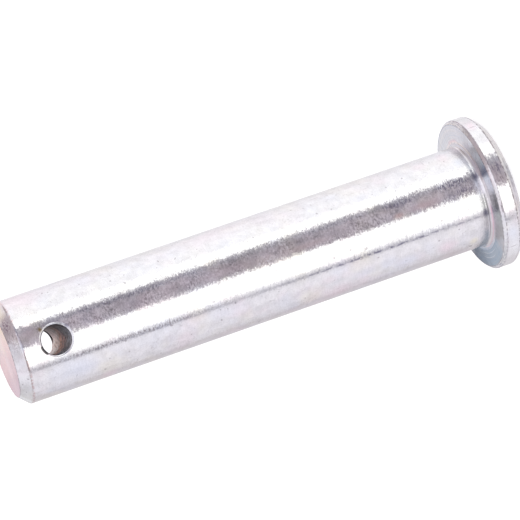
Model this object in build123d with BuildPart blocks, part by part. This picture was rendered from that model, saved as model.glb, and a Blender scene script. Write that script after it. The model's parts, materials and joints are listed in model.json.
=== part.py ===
from build123d import *
import os

# Footrest pin: a round shank with a thin round head at one end and a cross hole near the
# other, turned from one bar of steel. Sizes are in millimetres.
#
# The pin stands on its head. The origin is the centre of the head's outer face, +Z runs
# along the shank to the free end, and the cross hole runs along X.

# Head, a thin disc with a wide bevel on its outer edge and a narrow one on its seat
head_diameter = 15.0
head_thickness = 2.3
outer_bevel = 0.7
outer_bevel_round = 0.25
seat_bevel = 0.3

# Shank, from the head's seat to the free end
shank_diameter = 10.0
shank_length = 48.0
root_fillet = 0.5

# Free end, with a 45 degree bevel whose corner on the shank is rounded
tip_bevel = 0.95
tip_round = 0.3

# Cross hole for a split pin, with its two mouths deburred
cross_hole_diameter = 2.8
cross_hole_to_end = 4.25
mouth_bevel = 0.2

head_radius = head_diameter / 2
shank_radius = shank_diameter / 2
overall_length = head_thickness + shank_length
cross_hole_height = overall_length - cross_hole_to_end

with BuildPart() as footrest_pin:
    # Half of the pin's section, turned about its axis
    with BuildSketch(Plane.YZ):
        with BuildLine():
            Polyline(
                (0, 0),
                (head_radius, 0),
                (head_radius, head_thickness),
                (shank_radius, head_thickness),
                (shank_radius, overall_length),
                (0, overall_length),
                close=True,
            )
        make_face()
    revolve(axis=Axis.Z)

    # Fillet at the root of the shank, where it meets the head's seat
    rings = footrest_pin.edges().filter_by(GeomType.CIRCLE)
    seat_rings = rings.group_by(Axis.Z)[1]
    fillet(seat_rings.sort_by(SortBy.RADIUS)[0], root_fillet)

    # Bevel on the head's seat edge, then on its outer edge
    rings = footrest_pin.edges().filter_by(GeomType.CIRCLE)
    chamfer(rings.group_by(SortBy.RADIUS)[-1].sort_by(Axis.Z)[-1], seat_bevel)
    rings = footrest_pin.edges().filter_by(GeomType.CIRCLE)
    chamfer(rings.sort_by(Axis.Z)[0], outer_bevel)

    # Corner between the rim and the outer bevel, rubbed round
    rings = footrest_pin.edges().filter_by(GeomType.CIRCLE)
    fillet(rings.group_by(SortBy.RADIUS)[-1].sort_by(Axis.Z)[0], outer_bevel_round)

    # Bevel on the free end, then the rounded corner that leads up to it
    rings = footrest_pin.edges().filter_by(GeomType.CIRCLE)
    chamfer(rings.sort_by(Axis.Z)[-1], tip_bevel)
    rings = footrest_pin.edges().filter_by(GeomType.CIRCLE)
    fillet(rings.sort_by(Axis.Z)[-2], tip_round)

    # Cross hole, drilled right through the shank
    with Locations(Plane(origin=(shank_radius, 0, cross_hole_height), z_dir=(1, 0, 0))):
        Hole(cross_hole_diameter / 2)

    # Saddle-shaped lips, where the hole breaks out of the round shank
    hole_wall = footrest_pin.faces().filter_by(GeomType.CYLINDER).sort_by(lambda face: face.radius)[0]
    chamfer(hole_wall.edges().filter_by(GeomType.BSPLINE), mouth_bevel)

footrest_pin.part.label = "footrest_pin"

os.makedirs("parts", exist_ok=True)
export_step(footrest_pin.part, "parts/footrest_pin.step")
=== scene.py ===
"""The footrest pin, dressed for a studio picture: bright zinc plate over turned steel.

Sizes are named in millimetres and placed in metres, in the CAD model's own frame: the pin
stands on its head, +Z runs along the shank and the cross hole runs along X.
"""

import json
import math
import random

import bmesh
import bpy
from mathutils import Matrix, Vector


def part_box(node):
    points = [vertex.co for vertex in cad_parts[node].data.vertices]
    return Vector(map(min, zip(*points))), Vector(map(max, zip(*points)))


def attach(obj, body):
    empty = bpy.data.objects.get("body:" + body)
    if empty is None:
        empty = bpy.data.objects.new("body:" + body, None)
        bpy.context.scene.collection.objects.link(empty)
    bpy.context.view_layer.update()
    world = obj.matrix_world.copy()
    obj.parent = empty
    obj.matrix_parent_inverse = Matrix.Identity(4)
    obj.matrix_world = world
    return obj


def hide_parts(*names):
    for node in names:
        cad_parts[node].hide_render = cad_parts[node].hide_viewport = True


MM = 0.001

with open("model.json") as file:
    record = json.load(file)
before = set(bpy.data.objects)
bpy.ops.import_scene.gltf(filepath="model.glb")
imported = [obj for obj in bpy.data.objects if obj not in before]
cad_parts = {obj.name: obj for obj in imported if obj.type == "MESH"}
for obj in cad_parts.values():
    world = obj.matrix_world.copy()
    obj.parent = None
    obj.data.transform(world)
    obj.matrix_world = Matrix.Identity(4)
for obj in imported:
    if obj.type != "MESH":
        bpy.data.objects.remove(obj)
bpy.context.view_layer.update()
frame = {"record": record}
mounts = {mount["name"]: mount for mount in frame["record"]["mounts"]}

# Sizes of the pin, in millimetres, read from the frame where it states them
pin_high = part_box("footrest_pin")[1]
head_radius = pin_high.x / MM
head_thickness = mounts["head_seat"]["pos_m"][2] / MM
outer_bevel = 0.7
outer_bevel_round = 0.25
seat_bevel = 0.3
root_fillet = 0.5
shank_radius = mounts["shank"]["dims"]["r_mm"]
overall_length = pin_high.z / MM
tip_bevel = 0.95
tip_round = 0.3
hole_radius = mounts["cross_hole"]["dims"]["r_mm"]
hole_height = mounts["cross_hole"]["pos_m"][2] / MM
mouth_bevel = 0.2
far_burr = 0.2
far_burr_angle = -45
edge_break = 0.05

# Fineness of the mesh. The two last values are in millimetres
columns = 256
patch_cells = 36
patch_steps = 8
patch_gather = 1.3
lip_steps = 4
bore_spacing = 0.12
edge_ring = 0.03

# Camera, as the photograph was taken. Angles are in degrees
camera_azimuth = 1.28
camera_elevation = 14.43
camera_distance = 283.92
camera_aim = (-0.016, 0.717, 24.194)
camera_roll = 108.96
camera_lens = 207.45
sensor_width = 36

# Finishes of the pin's surfaces, by material slot
TURNED, FACED, END, BORE = range(4)


class Corner:
    """A corner of the turned profile, and the straight run that follows it."""

    def __init__(self, radius, height, rounding=0.0, spacing=1.0, finish=TURNED, groove=0.0,
                 steps=5, ridge=0.0):
        self.place = Vector((radius, height))
        self.rounding = rounding
        self.spacing = spacing
        self.finish = finish
        self.groove = groove
        self.steps = steps
        self.ridge = ridge


corners = [
    Corner(0, 0, spacing=0.6, finish=FACED),
    Corner(head_radius - outer_bevel, 0, edge_break, 0.2),
    Corner(head_radius, outer_bevel, outer_bevel_round, 0.3),
    Corner(head_radius, head_thickness - seat_bevel, edge_break, 0.1),
    Corner(head_radius - seat_bevel, head_thickness, edge_break, 0.04, FACED, groove=0.009),
    Corner(shank_radius, head_thickness, root_fillet, 1.0, steps=14, ridge=0.006),
    Corner(shank_radius, overall_length - tip_bevel, tip_round, 0.2),
    Corner(shank_radius - tip_bevel, overall_length, edge_break, 0.08, END, groove=0.005),
    Corner(0, overall_length),
]


def on_shank(point):
    """Whether a point of the profile lies on the side of the shank."""
    return abs(point.x - shank_radius) < 1e-6


def corner_arc(before, corner, after, chance):
    """The arc that rounds one corner of the profile, with a cutting tool's ridges along it."""
    back = (before.place - corner.place).normalized()
    ahead = (after.place - corner.place).normalized()
    half_angle = back.angle(ahead) / 2
    reach = corner.rounding / math.tan(half_angle)
    centre = corner.place + (back + ahead).normalized() * corner.rounding / math.sin(half_angle)
    start = corner.place + back * reach - centre
    end = corner.place + ahead * reach - centre
    sweep = math.atan2(start.x * end.y - start.y * end.x, start.dot(end))
    arc = []
    for step in range(corner.steps + 1):
        inner = 0 < step < corner.steps
        swell = 1 + (chance.uniform(-1, 1) * corner.ridge / corner.rounding if inner else 0)
        arc.append(centre + Matrix.Rotation(sweep * step / corner.steps, 2) @ start * swell)
    return arc


def run_stations(start, end, spacing):
    """Shares of the way along a straight run where it gets a ring of vertices."""
    length = (end - start).length
    edge = min(edge_ring, length / 4) / length
    count = max(1, round(length / spacing))
    return [edge] + [step / count for step in range(1, count)] + [1 - edge]


def shank_stations(start, end, spacing):
    """The same for the shank, with even rings across the patch that holds the hole's mouths."""
    cell = 2 * math.pi * shank_radius / columns
    low = hole_height - cell * patch_cells / 2
    high = hole_height + cell * patch_cells / 2
    below = max(1, round((low - start.y) / spacing))
    above = max(1, round((end.y - high) / spacing * 2))
    heights = [start.y + edge_ring]
    heights += [start.y + (low - start.y) * step / below for step in range(1, below)]
    heights += [low + cell * step for step in range(patch_cells + 1)]
    heights += [high + (end.y - high) * step / above for step in range(1, above)]
    heights += [end.y - edge_ring]
    return [(height - start.y) / (end.y - start.y) for height in heights]


def turned_rows():
    """Rings of the profile, each a point and the finish of the band that follows."""
    chance = random.Random(7)
    arcs = [[corners[0].place]]
    arcs += [corner_arc(*corners[i - 1:i + 2], chance) for i in range(1, len(corners) - 1)]
    arcs += [[corners[-1].place]]
    rows = []
    for corner, arc, following in zip(corners, arcs, arcs[1:] + [None]):
        rows += [(point, corner.finish) for point in arc]
        if following is None:
            break
        start, end = arc[-1], following[0]
        place_rings = shank_stations if on_shank(start) and on_shank(end) else run_stations
        stations = place_rings(start, end, corner.spacing)
        depth = 0.0
        for share in stations:
            point = start.lerp(end, share)
            depth = 0.5 * depth + 0.5 * chance.uniform(0, 2 * corner.groove)
            rows.append((point - Vector((0, depth)), corner.finish))
    return rows


def build_pin():
    """The whole pin as one closed mesh."""
    rows = turned_rows()
    cell = 2 * math.pi / columns
    vertices = []
    faces = []
    finishes = []

    def add(x, y, z):
        vertices.append((x * MM, y * MM, z * MM))
        return len(vertices) - 1

    def band(first, second, finish):
        """Faces between two loops of as many vertices."""
        for k in range(len(first)):
            after = (k + 1) % len(first)
            faces.append((first[k], first[after], second[after], second[k]))
            finishes.append(finish)

    rings = []
    for point, finish in rows[1:-1]:
        ring = [add(point.x * math.cos(j * cell), point.x * math.sin(j * cell), point.y)
                for j in range(columns)]
        rings.append(ring)
    row_finishes = [finish for point, finish in rows[1:-1]]
    heights = [point.y for point, finish in rows[1:-1]]

    # The rows and columns that the two patches round the hole's mouths take up
    shank_rows = [i for i, (point, finish) in enumerate(rows[1:-1]) if on_shank(point)]
    middle = min(shank_rows, key=lambda i: abs(heights[i] - hole_height))
    half = patch_cells // 2
    patch_rows = range(middle - half, middle + half)

    def in_patch(row, column):
        near = column < half or column >= columns - half
        far = columns // 2 - half <= column < columns // 2 + half
        return row in patch_rows and (near or far)

    for i in range(len(rings) - 1):
        for j in range(columns):
            if not in_patch(i, j):
                after = (j + 1) % columns
                faces.append((rings[i][j], rings[i][after], rings[i + 1][after], rings[i + 1][j]))
                finishes.append(row_finishes[i])

    # The middles of the two flat ends
    for ring, height, finish in ((rings[0], rows[0][0].y, FACED), (rings[-1], rows[-1][0].y, END)):
        centre = add(0, 0, height)
        for j in range(columns):
            faces.append((ring[j], ring[(j + 1) % columns], centre))
            finishes.append(finish)

    # Both mouths, from the square edge of each patch in to the wall of the hole
    edge = [(half, r) for r in range(-half, half)] + [(-c, half) for c in range(-half, half)]
    edge += [(-half, -r) for r in range(-half, half)] + [(c, -half) for c in range(-half, half)]
    mouth_radius = hole_radius + mouth_bevel
    ends = []
    for side in (1, -1):
        loop = []
        for c, r in edge:
            column = c % columns if side > 0 else (columns // 2 - c) % columns
            loop.append(rings[middle + r][column])
        angles = [math.atan2(r, c) for c, r in edge]
        for step in range(1, patch_steps + 1):
            share = 1 - (1 - step / patch_steps) ** patch_gather
            inner = []
            for (c, r), angle in zip(edge, angles):
                mouth_around = shank_radius * math.asin(mouth_radius * math.cos(angle) / shank_radius)
                around = (1 - share) * c * cell * shank_radius + share * mouth_around
                up = (1 - share) * r * cell * shank_radius + share * mouth_radius * math.sin(angle)
                turn = around / shank_radius
                inner.append(add(side * shank_radius * math.cos(turn), shank_radius * math.sin(turn),
                                 hole_height + up))
            band(loop, inner, TURNED)
            loop = inner
        for step in range(1, lip_steps + 1):
            share = step / lip_steps
            inset = (share + math.sin(share * math.pi / 2)) / 2
            drop = (share + 1 - math.cos(share * math.pi / 2)) / 2
            inner = []
            for angle in angles:
                # Only the far mouth has a burr, which narrows the light seen through the hole
                burr_share = max(0, math.cos(angle - math.radians(far_burr_angle))) if side < 0 else 0
                radius = mouth_radius - (mouth_bevel + far_burr * burr_share) * inset
                top = math.sqrt(shank_radius ** 2 - (mouth_radius * math.cos(angle)) ** 2)
                bottom = math.sqrt(shank_radius ** 2 - (hole_radius * math.cos(angle)) ** 2) - mouth_bevel
                inner.append(add(side * (top + (bottom - top) * drop), radius * math.cos(angle),
                                 hole_height + radius * math.sin(angle)))
            band(loop, inner, TURNED)
            loop = inner
        ends.append(loop)

    # The wall of the hole, from one mouth to the other
    steps = round(2 * (shank_radius - mouth_bevel) / bore_spacing)
    loop = ends[0]
    for step in range(1, steps):
        share = step / steps
        inner = []
        for near, far in zip(*ends):
            a, b = Vector(vertices[near]), Vector(vertices[far])
            inner.append(add(*(a.lerp(b, share) / MM)))
        band(loop, inner, BORE)
        loop = inner
    band(loop, ends[1], BORE)

    mesh = bpy.data.meshes.new("footrest_pin_plated")
    mesh.from_pydata(vertices, [], faces)
    mesh.polygons.foreach_set("material_index", finishes)
    mesh.polygons.foreach_set("use_smooth", [True] * len(faces))
    shell = bmesh.new()
    shell.from_mesh(mesh)
    bmesh.ops.recalc_face_normals(shell, faces=shell.faces)
    shell.to_mesh(mesh)
    shell.free()
    return mesh


# Materials

class Tree:
    """A short way to write the nodes of a material or of the world."""

    def __init__(self, owner):
        owner.use_nodes = True
        self.nodes = owner.node_tree.nodes
        self.links = owner.node_tree.links
        self.nodes.clear()

    def set(self, socket, value):
        if isinstance(value, bpy.types.NodeSocket):
            self.links.new(value, socket)
        else:
            socket.default_value = value

    def add(self, kind, *inputs, **settings):
        """A node with its inputs in order, each one a socket or a value."""
        node = self.nodes.new(kind)
        for name, value in settings.items():
            setattr(node, name, value)
        for slot, value in enumerate(inputs):
            self.set(node.inputs[slot], value)
        return node

    def math(self, operation, *inputs):
        return self.add("ShaderNodeMath", *inputs, operation=operation).outputs[0]

    def vector(self, operation, *inputs):
        node = self.add("ShaderNodeVectorMath", operation=operation)
        for slot, value in enumerate(inputs):
            socket = node.inputs["Scale"] if operation == "SCALE" and slot == 1 else node.inputs[slot]
            self.set(socket, value)
        return node.outputs["Value" if operation == "LENGTH" else "Vector"]

    def join(self, x, y, z):
        return self.add("ShaderNodeCombineXYZ", x, y, z).outputs[0]

    def noise(self, place, scale, detail=2.0, roughness=0.5):
        node = self.add("ShaderNodeTexNoise")
        self.set(node.inputs["Vector"], place)
        node.inputs["Scale"].default_value = scale
        node.inputs["Detail"].default_value = detail
        node.inputs["Roughness"].default_value = roughness
        return node.outputs["Fac"]

    def spread(self, value, low, high, to_low=0.0, to_high=1.0, curve="LINEAR"):
        """A value brought from one range to another, and held inside it."""
        node = self.add("ShaderNodeMapRange", value, low, high, to_low, to_high)
        node.interpolation_type = curve
        return node.outputs[0]

    def mix(self, share, first, second, blend="MIX"):
        node = self.add("ShaderNodeMix", data_type="RGBA", blend_type=blend)
        self.set(node.inputs["Factor"], share)
        first_socket, second_socket = [socket for socket in node.inputs if socket.type == "RGBA"]
        self.set(first_socket, first)
        self.set(second_socket, second)
        return [socket for socket in node.outputs if socket.type == "RGBA"][0]

    def shade(self, colour, factor):
        """A colour made lighter or darker by a factor."""
        return self.mix(1.0, colour, self.join(factor, factor, factor), "MULTIPLY")


class Lathe(Tree):
    """The nodes of a turned surface, which know where on the pin they are. Lengths are in mm."""

    def __init__(self, material):
        super().__init__(material)
        self.place = self.vector("SCALE", self.add("ShaderNodeTexCoord").outputs["Object"], 1 / MM)
        self.x, self.y, self.z = self.add("ShaderNodeSeparateXYZ", self.place).outputs
        flat = self.join(self.x, self.y, 0.0)
        self.radius = self.vector("LENGTH", flat)
        self.outward = self.vector("NORMALIZE", flat)
        self.across, self.sideways = self.add("ShaderNodeSeparateXYZ", self.outward).outputs[:2]
        self.angle = self.math("MULTIPLY", self.math("ARCTAN2", self.y, self.x), 180 / math.pi)

        # A height that goes on changing across a flat face
        self.path = self.math("MULTIPLY_ADD", self.radius, -0.6, self.z)

    def streaks(self, around, along, detail=2.0, roughness=0.5, start=0.0):
        """Noise drawn out round the pin, as a cutting tool leaves it."""
        rise = self.join(start, 0.0, self.math("MULTIPLY", self.path, along))
        place = self.vector("ADD", self.vector("SCALE", self.outward, around), rise)
        return self.noise(place, 1.0, detail, roughness)

    def moved(self, x, y, z):
        """The place on the pin moved elsewhere, so that one noise isn't like another."""
        return self.vector("ADD", self.place, (x, y, z))

    def sector(self, low, high, soft):
        """1 between two angles round the pin, falling to 0 on both sides."""
        rise = self.spread(self.angle, low - soft, low + soft, curve="SMOOTHSTEP")
        fall = self.spread(self.angle, high - soft, high + soft, 1.0, 0.0, "SMOOTHSTEP")
        return self.math("MULTIPLY", rise, fall)

    def ring(self, radius, height, width):
        """1 on a circle round the pin, falling to 0 at a distance of the width."""
        out = self.math("SUBTRACT", self.radius, radius)
        up = self.math("SUBTRACT", self.z, height)
        away = self.vector("LENGTH", self.join(out, up, 0.0))
        return self.spread(away, 0.0, width, 1.0, 0.0, "SMOOTHSTEP")

    def spot(self, angle, height, wide, tall):
        """1 at a place on the shank, falling to 0 at the edges of an oval. The width is in degrees."""
        turn = self.math("MULTIPLY", self.math("SUBTRACT", self.angle, angle), 1 / wide)
        rise = self.math("MULTIPLY", self.math("SUBTRACT", self.z, height), 1 / tall)
        away = self.vector("LENGTH", self.join(turn, rise, 0.0))
        return self.spread(away, 0.0, 1.0, 1.0, 0.0, "SMOOTHSTEP")


PLATE = (0.87, 0.86, 0.87, 1)
PINK = (0.93, 0.82, 0.86, 1)
BLUE = (0.82, 0.85, 0.93, 1)
STRAW = (0.95, 0.90, 0.76, 1)
ROSE = (0.86, 0.58, 0.64, 1)
RUST = (0.62, 0.44, 0.44, 1)
OLIVE = (0.36, 0.29, 0.12, 1)
# Dark grime, also used for painted shade
GRIME_AND_SHADE = (0.26, 0.22, 0.24, 1)
NAVY = (0.17, 0.16, 0.27, 1)
GREY = (0.50, 0.51, 0.58, 1)
PLUM = (0.30, 0.20, 0.28, 1)
# Black, used for painted shade
SHADE_BLACK = (0.03, 0.03, 0.03, 1)
# White, used for painted highlights and reflections
PAINTED_HIGHLIGHT = (1.0, 1.0, 1.0, 1)

# Depths of the bumps in the plate and in the wall of the hole, in millimetres
plate_bump = 0.004
wall_bump = 0.06

# Stains of the plate, with some painted light and shade, as angle round the pin, height, half width
# in degrees, half height, colour and strength
stains_and_painted_light = [
    (-50, 7.2, 16, 1.5, PINK, 0.9),
    (-70, 6.6, 20, 2.0, RUST, 0.25),
    (-50, 11.3, 12, 2.0, BLUE, 0.7),
    (-45, 15.5, 12, 2.0, BLUE, 0.5),
    (-62, 18.3, 20, 2.2, PINK, 0.9),
    (-38, 19.4, 8, 1.6, PINK, 0.4),
    (-70, 41.7, 14, 1.4, PINK, 0.9),
    (-56, 4.3, 9, 0.7, STRAW, 0.9),
    (-40, 45.0, 22, 3.4, BLUE, 0.7),
    (-32, 29.5, 12, 3.5, BLUE, 0.3),
    (6, 11.3, 5, 0.9, (0.95, 0.72, 0.64, 1), 0.6),
    (8, 8.6, 7, 2.4, (0.93, 0.76, 0.76, 1), 0.6),
    (8, 20.5, 6, 4.0, (0.95, 0.82, 0.80, 1), 0.5),
    (10, 29.0, 7, 6.0, (0.95, 0.84, 0.86, 1), 0.4),
    (59, 7.2, 12, 1.2, PINK, 0.5),
    (62, 4.6, 16, 0.9, PINK, 0.5),
    (44, 3.6, 10, 0.8, BLUE, 0.5),
    (40, 14.2, 10, 1.6, BLUE, 0.4),
    (62, 29.0, 24, 6.0, PINK, 0.3),
    (75, 48.0, 44, 3.6, PINK, 0.8),
    (20, 48.3, 16, 1.0, PINK, 0.5),
    (15.5, 47.2, 4.2, 0.3, OLIVE, 1.0),
    (10.5, 44.75, 4, 0.35, NAVY, 0.5),
    (-17.5, 45.3, 5, 0.4, PLUM, 0.3),
    (-38, 1.4, 13, 0.9, BLUE, 0.9),
    (58, 1.4, 9, 0.8, PINK, 0.9),
    (-34, 0.3, 17, 0.5, PINK, 1.0),
    # Painted reflection: a light patch over the edge of the head
    (-66, 1.4, 44, 1.6, PAINTED_HIGHLIGHT, 1.0),
    (8, 0.3, 19, 0.5, GREY, 0.85),
    # Painted shade: the dark reflected band and the thin dark line carried on into the root
    (-22, 2.9, 8, 0.45, NAVY, 0.8),
    (20, 2.8, 6, 0.5, NAVY, 0.7),
    (4, 49.25, 10, 0.3, GREY, 0.5),
    (8, 49.85, 14, 0.5, PLUM, 0.25),
    (13, 49.35, 12, 0.24, PLUM, 0.5),
    (68, 49.85, 36, 0.5, STRAW, 0.8),
]

# The same for marks that are broken up into flecks: painted shade along and inside the dark reflected
# band, then flecks on the bevels and on the chamfer of the free end
flecks_and_band_shade = [
    # Painted shade: flecks along the edges of the dark reflected band and of the thin dark line
    (20, 5.2, 8, 3.4, NAVY, 1.0),
    (19, 10.8, 6, 3.2, NAVY, 0.8),
    (20, 17.0, 4, 7.0, NAVY, 0.35),
    (20, 38.0, 4, 14.0, NAVY, 0.6),
    (-23, 40.0, 4.8, 14.0, GRIME_AND_SHADE, 0.8),
    (-23, 16.0, 4.0, 14.0, NAVY, 0.35),
    # Painted shade: flecks that darken the dark reflected band on the shank and on the edge of the head
    (8, 4.6, 8, 2.2, NAVY, 0.8),
    (4, 15.0, 3, 9.0, GRIME_AND_SHADE, 0.4),
    (15, 1.4, 8, 0.8, NAVY, 0.9),
    (6, 1.4, 7, 0.6, GRIME_AND_SHADE, 0.6),
    # Flecks on the bevels and on the chamfer of the free end
    (8, 0.3, 20, 0.5, GRIME_AND_SHADE, 0.6),
    (-85, 2.15, 60, 0.4, GREY, 1.0),
    (80, 2.15, 48, 0.4, GREY, 1.0),
    (-14, 2.08, 14, 0.14, GRIME_AND_SHADE, 0.9),
    (36, 49.85, 17, 0.5, PLUM, 1.0),
]

# The same for marks that are broken up into dashes along the pin: painted shade along the thin dark
# reflected line and in the dark reflected band
band_shade_dashes = [
    (-24.5, 13.0, 2.0, 16.0, NAVY, 0.8),
    (-24.5, 38.0, 2.2, 14.0, NAVY, 0.3),
    (14, 26.0, 7, 22.0, GRIME_AND_SHADE, 0.2),
]

# Scratches, as angle, height, half width in degrees, half height, and strength
scratches = [
    (-20.5, 16.6, 5, 0.07, 0.6),
    (-20, 35.4, 9, 0.07, 0.75),
    (-7, 38.1, 7, 0.06, 0.3),
    (-23, 6.9, 5, 0.06, 0.4),
    (-23, 10.7, 4, 0.06, 0.4),
    (56, 1.4, 0.8, 0.7, 0.35),
    (-50, 1.4, 0.7, 0.65, 0.5),
    (62, 6.6, 7, 0.1, 0.25),
    (-53, 22.0, 3, 0.12, 0.3),
]

# Rings round the root of the shank and on the seat, as radius, height, width, first and last angle,
# colour and strength. Some are tinted, and some are painted shade and painted highlights, as noted below
root_rings_and_shade = [
    (5.30, 2.42, 0.32, -88, -14, (0.60, 0.50, 0.58, 1), 0.75),
    (5.03, 2.66, 0.15, -85, -25, GREY, 0.5),
    (5.26, 2.44, 0.24, 24, 104, (0.58, 0.63, 0.76, 1), 0.7),
    # Painted shade: the seat by the root darkened where it mirrors the shank's dark underside
    (5.42, 2.36, 0.36, -140, -66, (0.30, 0.36, 0.45, 1), 1.0),
    (5.20, 2.38, 0.11, -88, -16, ROSE, 0.9),
    (5.42, 2.31, 0.07, -90, -8, GRIME_AND_SHADE, 0.5),
    (5.04, 2.62, 0.07, -60, -14, GRIME_AND_SHADE, 0.55),
    (5.07, 2.53, 0.06, 28, 80, GRIME_AND_SHADE, 0.5),
    (5.33, 2.33, 0.06, 34, 74, GRIME_AND_SHADE, 0.5),
    (5.55, 2.30, 0.25, 78, 102, ROSE, 0.45),
    # Painted highlights and painted shade: light and dark rings where the seat's turning grooves catch the
    # light
    (5.85, 2.30, 0.06, -106, -70, PAINTED_HIGHLIGHT, 0.3),
    (6.05, 2.30, 0.05, -108, -72, GRIME_AND_SHADE, 0.3),
    (6.30, 2.30, 0.06, -104, -76, PAINTED_HIGHLIGHT, 0.3),
    (6.50, 2.30, 0.05, -106, -74, GRIME_AND_SHADE, 0.25),
]

ALL_ROUND = (-200, 200)

# Rings of darker colour at the corners, broken up by noise, as radius, height, width, first and last
# angle, colour and strength
corner_rings = [
    (shank_radius, overall_length - tip_bevel - 0.07, 0.22, -200, 1, RUST, 0.75),
    (shank_radius, overall_length - tip_bevel - 0.07, 0.22, 29, 200, RUST, 0.75),
    (shank_radius - tip_bevel, overall_length, 0.13, *ALL_ROUND, GRIME_AND_SHADE, 0.6),
    (head_radius - seat_bevel, head_thickness, 0.13, *ALL_ROUND, GRIME_AND_SHADE, 0.65),
    (head_radius, head_thickness - seat_bevel, 0.09, *ALL_ROUND, GRIME_AND_SHADE, 0.6),
    (head_radius, head_thickness - seat_bevel, 0.16, -115, -35, PLUM, 0.8),
    (head_radius, head_thickness - seat_bevel, 0.14, 45, 110, PLUM, 0.6),
    (head_radius, outer_bevel + 0.06, 0.13, *ALL_ROUND, GRIME_AND_SHADE, 0.85),
    (head_radius - outer_bevel * 0.5, outer_bevel * 0.5, 0.10, -30, 60, GREY, 0.8),
    (head_radius - outer_bevel, 0.0, 0.14, *ALL_ROUND, GRIME_AND_SHADE, 0.8),
]

# The light and dark sectors that the facing cut shows on the seat, as angle and shade. They are a
# painted reflection in the plate, because a flat face mirrors only one part of the studio
seat_painted_reflection = [
    (-150, (0.80, 0.80, 0.80)),
    (-124, (0.08, 0.12, 0.18)),
    (-85, (0.39, 0.48, 0.57)),
    (-62, (0.43, 0.52, 0.61)),
    (-50, (0.60, 0.60, 0.63)),
    (-38, (0.69, 0.69, 0.70)),
    (-22, (0.76, 0.83, 0.82)),
    (-9, (0.43, 0.42, 0.45)),
    (-1, (0.86, 0.88, 0.92)),
    (11, (0.98, 1.05, 1.09)),
    (18, (0.53, 0.62, 0.71)),
    (27, (0.66, 0.72, 0.75)),
    (44, (0.86, 0.94, 1.02)),
    (51, (0.69, 0.73, 0.81)),
    (70, (0.84, 0.88, 0.95)),
    (150, (0.87, 0.92, 0.95)),
]


def plated(name, colouring, stained_and_shaded=False, streak_tilt=0.15):
    """Bright zinc plate over turning marks. The colouring function colours the plate of one surface, painted
    light too.
    """
    material = bpy.data.materials.new(name)
    tree = Lathe(material)

    coarse = tree.streaks(5.0, 9.0, 2.0, 0.6)
    fine = tree.streaks(10.0, 22.0, 1.0, 0.5, 3.0)
    patches = tree.noise(tree.place, 0.35, 1.0)
    near_head = tree.spread(tree.z, 14.0, 4.0, 0.65, 1.5)
    near_head = tree.math("MULTIPLY", near_head, tree.spread(tree.z, head_thickness, 3.0, 0.45, 1.0))
    specks = tree.noise(tree.place, 4.5, 2.0, 0.6)

    tilt = tree.math("SUBTRACT", coarse, 0.5)
    tilt = tree.math("MULTIPLY", tilt, tree.spread(patches, 0.35, 0.65, streak_tilt * 0.7, streak_tilt * 1.3))
    tilt = tree.math("MULTIPLY_ADD", tree.math("SUBTRACT", fine, 0.5), streak_tilt * 1.3, tilt)
    tilt = tree.math("MULTIPLY", tilt, near_head)
    tilt = tree.math("MULTIPLY_ADD", tree.math("SUBTRACT", specks, 0.5), streak_tilt * 1.05, tilt)
    calm = tree.math("MULTIPLY_ADD", tree.sector(-34, -18, 4.0), -0.5, 1.0)
    tilt = tree.math("MULTIPLY", tilt, calm)
    turning = tree.join(tree.math("MULTIPLY", tree.sideways, -1.0), tree.across, 0.0)
    normal = tree.add("ShaderNodeNewGeometry").outputs["Normal"]
    normal = tree.vector("NORMALIZE", tree.vector("ADD", normal, tree.vector("SCALE", turning, tilt)))

    chips = tree.noise(tree.place, 3.4, 2.0, 0.6)
    bevel = tree.ring(head_radius - seat_bevel / 2, head_thickness - seat_bevel / 2, seat_bevel)
    crumble = tree.math("MULTIPLY", tree.math("MULTIPLY", chips, bevel), 7.0)
    bump = tree.add("ShaderNodeBump")
    bump.inputs["Distance"].default_value = plate_bump * MM
    height = tree.math("ADD", fine, tree.noise(tree.place, 4.0, 2.0))
    tree.set(bump.inputs["Height"], tree.math("ADD", height, crumble))
    tree.set(bump.inputs["Normal"], normal)

    colour = corner_and_root_rings(tree, colouring(tree))
    if stained_and_shaded:
        colour = spotted(tree, colour)
    grain = tree.noise(tree.place, 5.5, 3.0, 0.6)
    colour = tree.shade(colour, tree.spread(grain, 0.3, 0.62, 0.955, 1.01))
    colour = tree.shade(colour, tree.spread(coarse, 0.3, 0.6, 0.965, 1.01))

    shader = tree.add("ShaderNodeBsdfPrincipled")
    tree.set(shader.inputs["Base Color"], colour)
    shader.inputs["Metallic"].default_value = 1.0
    tree.set(shader.inputs["Roughness"], tree.spread(patches, 0.3, 0.7, 0.16, 0.22))
    shader.inputs["Anisotropic"].default_value = 0.75
    shader.inputs["Anisotropic Rotation"].default_value = 0.25
    round_the_pin = tree.add("ShaderNodeTangent", direction_type="RADIAL", axis="Z").outputs[0]
    tree.set(shader.inputs["Tangent"], round_the_pin)
    tree.set(shader.inputs["Normal"], bump.outputs[0])
    tree.add("ShaderNodeOutputMaterial", shader.outputs[0])
    return material


def corner_and_root_rings(tree, colour):
    """The rings at the corners and round the root, which lie on two surfaces each; some are painted shade and
    highlights.
    """
    chips = tree.noise(tree.place, 3.6, 3.0, 0.7)
    for radius, height, width, first, last, mark_colour, strength in corner_rings:
        share = tree.math("MULTIPLY", tree.ring(radius, height, width), tree.sector(first, last, 4.0))
        share = tree.math("MULTIPLY", share, tree.spread(chips, 0.42, 0.58, 0.05, strength * 1.15))
        colour = tree.mix(share, colour, mark_colour)
    for radius, height, width, first, last, mark_colour, strength in root_rings_and_shade:
        share = tree.math("MULTIPLY", tree.ring(radius, height, width), tree.sector(first, last, 6.0))
        colour = tree.mix(tree.math("MULTIPLY", share, strength), colour, mark_colour)
    return colour


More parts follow.
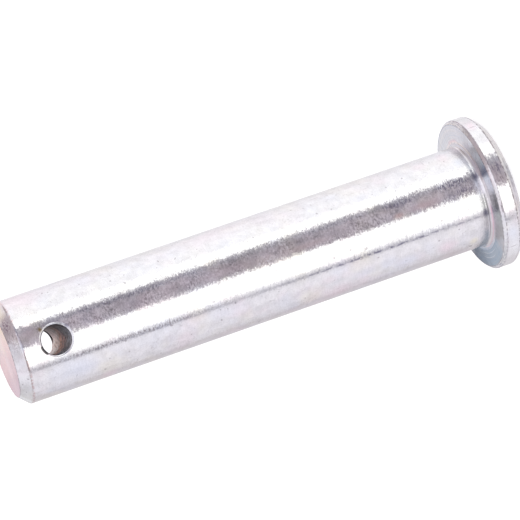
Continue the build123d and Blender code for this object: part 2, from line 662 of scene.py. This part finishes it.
def spotted(tree, colour):
    """The turned surface's marks: discoloured patches, flecking and scratches, with painted highlights and
    shade.
    """
    for angle, height, wide, tall, mark_colour, strength in stains_and_painted_light:
        share = tree.math("MULTIPLY", tree.spot(angle, height, wide, tall), strength)
        colour = tree.mix(share, colour, mark_colour)
    fleck_mask = tree.spread(tree.streaks(15.0, 8.0, 2.0, 0.7, 9.0), 0.47, 0.57)
    dashed = tree.spread(tree.streaks(12.0, 1.3, 2.0, 0.6, 4.0), 0.47, 0.55)
    for entries, broken in ((flecks_and_band_shade, fleck_mask), (band_shade_dashes, dashed)):
        for angle, height, wide, tall, mark_colour, strength in entries:
            share = tree.math("MULTIPLY", tree.spot(angle, height, wide, tall), strength)
            share = tree.math("MULTIPLY", share, broken)
            colour = tree.mix(share, colour, mark_colour)
    for angle, height, wide, tall, strength in scratches:
        share = tree.math("MULTIPLY", tree.spot(angle, height, wide, tall), strength)
        colour = tree.mix(share, colour, GRIME_AND_SHADE)
    return colour


def turned_tint_and_shade(tree):
    """The shank, the edge of the head and the bevels."""
    clouds = tree.noise(tree.place, 0.34, 2.0)
    more_clouds = tree.noise(tree.moved(40.0, 10.0, 5.0), 0.30, 2.0)
    straw_clouds = tree.noise(tree.moved(10.0, 30.0, 60.0), 0.30, 2.0)
    colour = tree.mix(tree.spread(clouds, 0.5, 0.7, 0, 0.5), PLATE, PINK)
    colour = tree.mix(tree.spread(more_clouds, 0.5, 0.7, 0, 0.5), colour, BLUE)
    colour = tree.mix(tree.spread(straw_clouds, 0.52, 0.7, 0, 0.4), colour, STRAW)
    colour = tree.mix(tree.spread(tree.angle, 15, 45, 1.0, 0.6), PLATE, colour)

    # Painted shade along the side with the cross hole, where the dark reflected band falls: the plate
    # is darkened there by fine nicks and drifts, partly scuffing and partly painted shade of that band
    dark_band_track = tree.math("MULTIPLY", tree.sector(2.5, 22.0, 3.0), tree.spread(tree.z, head_thickness, 3.2))
    gathered = tree.noise(tree.moved(7.0, 0.0, 2.0), 0.7, 2.0)
    nicks = tree.spread(tree.streaks(13.0, 6.0, 2.0, 0.75, 5.0), 0.38, 0.60, 0.74, 1.2)
    specks = tree.spread(tree.noise(tree.place, 5.0, 2.0, 0.7), 0.36, 0.60, 0.70, 1.2)
    scuffs_and_shade = tree.math("MULTIPLY", nicks, specks)
    band_shade_share = tree.math("MULTIPLY", dark_band_track, tree.spread(gathered, 0.38, 0.62, 0.3, 1.0))
    colour = tree.mix(band_shade_share, colour, tree.shade(colour, scuffs_and_shade))
    drifts = tree.noise(tree.moved(1.0, 6.0, 30.0), 0.8, 1.0)
    colour = tree.mix(dark_band_track, colour, tree.shade(colour, tree.spread(drifts, 0.35, 0.65, 0.85, 1.12)))

    # Mottles, and thin curls where the plate has dried unevenly
    mottles = tree.noise(tree.moved(5.0, 50.0, 20.0), 1.1, 3.0, 0.55)
    colour = tree.shade(colour, tree.spread(mottles, 0.35, 0.62, 0.925, 1.03))
    contour = tree.math("ABSOLUTE", tree.math("SUBTRACT", tree.noise(tree.place, 1.3, 1.0), 0.5))
    curls = tree.spread(contour, 0.006, 0.02, 1.0, 0.0, "SMOOTHSTEP")
    where = tree.spread(tree.noise(tree.moved(3.0, 3.0, 9.0), 0.5, 2.0), 0.52, 0.62)
    curls = tree.math("MULTIPLY", curls, where)
    colour = tree.mix(tree.math("MULTIPLY", curls, 0.16), colour, GRIME_AND_SHADE)
    pits = tree.spread(tree.noise(tree.moved(60.0, 2.0, 2.0), 2.6, 0.0), 0.79, 0.83)
    colour = tree.mix(tree.math("MULTIPLY", pits, 0.45), colour, GRIME_AND_SHADE)

    # A dark crescent on the lip of the hole, low on the tip side: painted shade where the lip mirrors
    # something dark
    from_middle = tree.join(tree.y, tree.math("SUBTRACT", tree.z, hole_height), 0.0)
    off_lip = tree.math("SUBTRACT", tree.vector("LENGTH", from_middle), hole_radius + mouth_bevel * 0.75)
    lip = tree.spread(tree.math("ABSOLUTE", off_lip), mouth_bevel * 0.4, mouth_bevel * 0.75, 1.0, 0.0)
    dark_lip = tree.math("MULTIPLY", lip, tree.spot(-7.5, hole_height + 1.42, 8.5, 0.65))
    return tree.mix(tree.spread(dark_lip, 0.1, 0.4, 0.0, 0.88), colour, SHADE_BLACK)


def shades(tree, value, stops):
    """A colour ramp with a stop for each value and colour."""
    node = tree.add("ShaderNodeValToRGB", value)
    elements = node.color_ramp.elements
    elements.remove(elements[0])
    for index, (position, colour) in enumerate(stops):
        element = elements[0] if index == 0 else elements.new(position)
        element.position = position
        element.color = (*colour, 1)
    return node.outputs[0]


def faced_tint_and_reflection(tree):
    """The faces of the head, with a painted reflection on the seat: light and dark sectors round the shank.
    """
    wander = tree.spread(tree.streaks(30.0, 0.0, 2.0, 0.6), 0.3, 0.7, -3.0, 3.0)
    turn = tree.spread(tree.math("ADD", tree.angle, wander), -180.0, 180.0)
    reflection_fan = shades(tree, turn, [(angle / 360 + 0.5, shade) for angle, shade in seat_painted_reflection])
    on_seat = tree.math("GREATER_THAN", tree.z, head_thickness / 2)
    colour = tree.mix(1.0, PLATE, tree.mix(on_seat, PLATE, reflection_fan), "MULTIPLY")
    rays = tree.spread(tree.noise(tree.vector("SCALE", tree.outward, 26.0), 1.0, 2.0), 0.3, 0.7, 0.93, 1.05)
    return tree.shade(colour, rays)


def end_tint(tree):
    """The face of the free end, from pink on one side to straw yellow on the other."""
    drift = tree.spread(tree.noise(tree.place, 0.5), 0.3, 0.7, -0.8, 0.8)
    share = tree.spread(tree.math("ADD", tree.y, drift), -3.5, 3.5)
    return shades(tree, share, [
        (0.0, (0.74, 0.48, 0.55)),
        (0.2, (0.81, 0.54, 0.57)),
        (0.32, (0.93, 0.65, 0.67)),
        (0.53, (1.0, 0.74, 0.75)),
        (0.75, (0.95, 0.78, 0.71)),
        (1.0, (0.93, 0.76, 0.62)),
    ])


def drilled():
    """The wall of the cross hole, thinly plated, with brown staining, the drill's rings and painted light and
    shade.
    """
    material = bpy.data.materials.new("zinc_drilled")
    tree = Lathe(material)
    wander = tree.math("MULTIPLY_ADD", tree.noise(tree.place, 0.9, 3.0, 0.6), 6.0, -3.0)
    depth = tree.spread(tree.math("ADD", tree.x, wander), -5.0, 5.0)
    # Along the hole, from the far mouth to the near one: lighter towards the far mouth, painted light from
    # that opening, brown in the middle and grey at the near mouth
    colour = shades(tree, depth, [
        (0.1, (0.85, 0.70, 0.67)),
        (0.38, (0.75, 0.60, 0.56)),
        (0.48, (0.67, 0.39, 0.30)),
        (0.62, (0.50, 0.34, 0.34)),
        (0.76, (0.40, 0.38, 0.41)),
        (1.0, (0.54, 0.57, 0.63)),
    ])
    dirt = tree.spread(tree.noise(tree.place, 3.0, 3.0), 0.35, 0.6, 0.4, 1.15)
    # Painted shade: the upper wall darker and the lower wall lighter
    upper_shade = tree.spread(tree.y, hole_radius * 0.15, hole_radius * 0.9, 1.0, 0.27)
    upper_shade = tree.math("MULTIPLY", upper_shade, tree.spread(tree.y, hole_radius * -0.3, hole_radius * 0.15, 1.45, 0.9))
    rings = tree.noise(tree.vector("MULTIPLY", tree.place, (6.0, 0.5, 0.5)), 1.0, 2.0)
    rings_and_shade = tree.math("MULTIPLY", upper_shade, tree.spread(rings, 0.35, 0.65, 0.7, 1.3))
    colour = tree.shade(tree.shade(colour, dirt), rings_and_shade)

    # A painted shadow round the far mouth, on its upper side, where the metal's sheen is turned down too
    far_mouth_shade = tree.math("MULTIPLY", tree.spread(tree.x, -4.1, -3.8, 1.0, 0.0), tree.spread(tree.y, -0.6, -0.1))
    colour = tree.mix(far_mouth_shade, colour, SHADE_BLACK)
    bump = tree.add("ShaderNodeBump")
    bump.inputs["Distance"].default_value = wall_bump * MM
    tree.set(bump.inputs["Height"], rings)
    shader = tree.add("ShaderNodeBsdfPrincipled")
    tree.set(shader.inputs["Base Color"], colour)
    tree.set(shader.inputs["Metallic"], tree.math("MULTIPLY_ADD", far_mouth_shade, -0.6, 0.6))
    shader.inputs["Roughness"].default_value = 0.45
    shader.inputs["Specular IOR Level"].default_value = 0.0
    tree.set(shader.inputs["Normal"], bump.outputs[0])
    tree.add("ShaderNodeOutputMaterial", shader.outputs[0])
    return material


pin = bpy.data.objects.new("footrest_pin_plated", build_pin())
bpy.context.scene.collection.objects.link(pin)
pin.data.materials.append(plated("zinc_turned", turned_tint_and_shade, stained_and_shaded=True))
pin.data.materials.append(plated("zinc_faced", faced_tint_and_reflection))
pin.data.materials.append(plated("zinc_end", end_tint, streak_tilt=0.06))
pin.data.materials.append(drilled())
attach(pin, "root")
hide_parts("footrest_pin")


# Studio

WHITE = (1.65, 1.65, 1.62)

# What stands round the pin, as directions from one azimuth to the next, in degrees, and its colour.
# The camera is at azimuth 0. Each list is for one band of elevation
below = [
    (-180, -150, (0.85, 0.80, 0.84)),
    (-150, 150, (0.82, 0.79, 0.81)),
    (150, 180, (0.90, 0.87, 0.87)),
]
level = [
    (-180, -158, (0.68, 0.66, 0.68)),
    (-158, -128, (0.66, 0.63, 0.67)),
    (-128, -112, (0.78, 0.76, 0.81)),
    (-108, -82, (0.88, 0.86, 0.92)),
    (-80, -56, (0.96, 0.94, 1.0)),
    (-53, -51.5, (0.47, 0.46, 0.51)),
    (-48, -47, (0.84, 0.83, 0.89)),
    (-43, -42, (1.04, 1.03, 1.06)),
    (-37, -2, WHITE),
    (2, 33, (0.46, 0.41, 0.46)),
    (35, 45, (0.42, 0.40, 0.45)),
    (51.5, 67, WHITE),
    (68, 100, (1.16, 1.16, 1.19)),
    (101, 124, (1.11, 1.10, 1.14)),
    (126, 142, (1.0, 0.98, 1.02)),
    (144, 180, (0.90, 0.89, 0.92)),
]
above = [
    (-180, -157, (0.80, 0.81, 0.87)),
    (-155, -54, (0.70, 0.69, 0.72)),
    (-50, -12, (0.30, 0.30, 0.31)),
    (-8, 27, (0.80, 0.80, 0.92)),
    (30, 54, (0.36, 0.34, 0.42)),
    (56, 65, (0.70, 0.72, 0.78)),
    (68, 96, (0.74, 0.71, 0.75)),
    (100, 124, (0.52, 0.48, 0.49)),
    (128, 154, (0.90, 0.85, 0.86)),
    (156, 180, (0.95, 0.88, 0.87)),
]
overhead = [
    (-180, -120, (0.74, 0.73, 0.78)),
    (-112, -50, (0.94, 0.93, 1.0)),
    (-46, -20, (0.95, 0.92, 0.97)),
    (-10, 42, (1.06, 1.06, 1.13)),
    (52, 120, (0.49, 0.42, 0.46)),
    (126, 180, (0.86, 0.77, 0.73)),
]
ZENITH = (0.64, 0.61, 0.66, 1)

# Elevations, in degrees, over which the panels of one band give way to those of the next
to_level = (-36, -27)
to_above = (-1, 6)
to_overhead = (33, 41)
to_zenith = (73, 80)

FLOOR = (0.8, 0.8, 0.8, 1)
SEEN_WHITE = (1, 1, 1, 1)
floor_size = 3.0
floor_lift = 0.6


def panels(tree, azimuth, stretches):
    """The colour in each stretch of azimuth, with the gaps between stretches blended over."""
    edges = [(angle, colour) for first, last, colour in stretches for angle in (first, last)]
    return shades(tree, azimuth, [(angle / 360 + 0.5, colour) for angle, colour in edges])


def studio():
    """Light from all round, painted in white to the camera and in panels to everything else."""
    world = bpy.data.worlds.new("studio")
    bpy.context.scene.world = world
    tree = Tree(world)
    direction = tree.add("ShaderNodeTexCoord").outputs["Generated"]
    x, y, z = tree.add("ShaderNodeSeparateXYZ", direction).outputs
    azimuth = tree.math("FRACT", tree.math("MULTIPLY_ADD", tree.math("ARCTAN2", y, x), 0.5 / math.pi,
                                           0.5 - camera_azimuth / 360))

    def from_elevation(low, high):
        return tree.spread(z, math.sin(math.radians(low)), math.sin(math.radians(high)), curve="SMOOTHSTEP")

    colour = panels(tree, azimuth, below)
    for change, stretches in ((to_level, level), (to_above, above), (to_overhead, overhead)):
        colour = tree.mix(from_elevation(*change), colour, panels(tree, azimuth, stretches))
    colour = tree.mix(from_elevation(*to_zenith), colour, ZENITH)
    seen = tree.add("ShaderNodeLightPath").outputs["Is Camera Ray"]
    background = tree.add("ShaderNodeBackground", tree.mix(seen, colour, SEEN_WHITE), 1.0)
    tree.add("ShaderNodeOutputWorld", background.outputs[0])


def floor():
    """A pale floor that is white to the camera but for the pin's shadow. The metal doesn't mirror it."""
    size = floor_size
    mesh = bpy.data.meshes.new("floor")
    outline = [(-size, -size, 0), (size, -size, 0), (size, size, 0), (-size, size, 0)]
    mesh.from_pydata(outline, [], [(0, 1, 2, 3)])
    plane = bpy.data.objects.new("floor", mesh)
    bpy.context.scene.collection.objects.link(plane)
    material = bpy.data.materials.new("floor")
    tree = Tree(material)
    diffuse = tree.add("ShaderNodeBsdfDiffuse", FLOOR).outputs[0]
    lift = tree.add("ShaderNodeEmission", SEEN_WHITE, floor_lift).outputs[0]
    lit = tree.add("ShaderNodeAddShader", diffuse, lift).outputs[0]
    seen = tree.add("ShaderNodeLightPath").outputs["Is Camera Ray"]
    surface = tree.add("ShaderNodeMixShader", seen, diffuse, lit).outputs[0]
    tree.add("ShaderNodeOutputMaterial", surface)
    mesh.materials.append(material)
    plane.visible_glossy = False


def camera():
    """The camera as it stood for the photograph, rolled as the pin lies in the picture."""
    data = bpy.data.cameras.new("camera")
    data.lens = camera_lens
    data.sensor_width = sensor_width
    data.clip_start = 0.01
    data.clip_end = 10
    eye = bpy.data.objects.new("camera", data)
    bpy.context.scene.collection.objects.link(eye)
    azimuth, elevation = math.radians(camera_azimuth), math.radians(camera_elevation)
    level_reach = math.cos(elevation)
    back = Vector((level_reach * math.cos(azimuth), level_reach * math.sin(azimuth), math.sin(elevation)))
    roll = Matrix.Rotation(math.radians(-camera_roll), 4, "Z")
    eye.matrix_world = (
        Matrix.Translation((Vector(camera_aim) + back * camera_distance) * MM)
        @ (-back).to_track_quat("-Z", "Y").to_matrix().to_4x4()
        @ roll
    )
    bpy.context.scene.camera = eye


studio()
floor()
camera()
bpy.context.scene.view_settings.view_transform = "Standard"
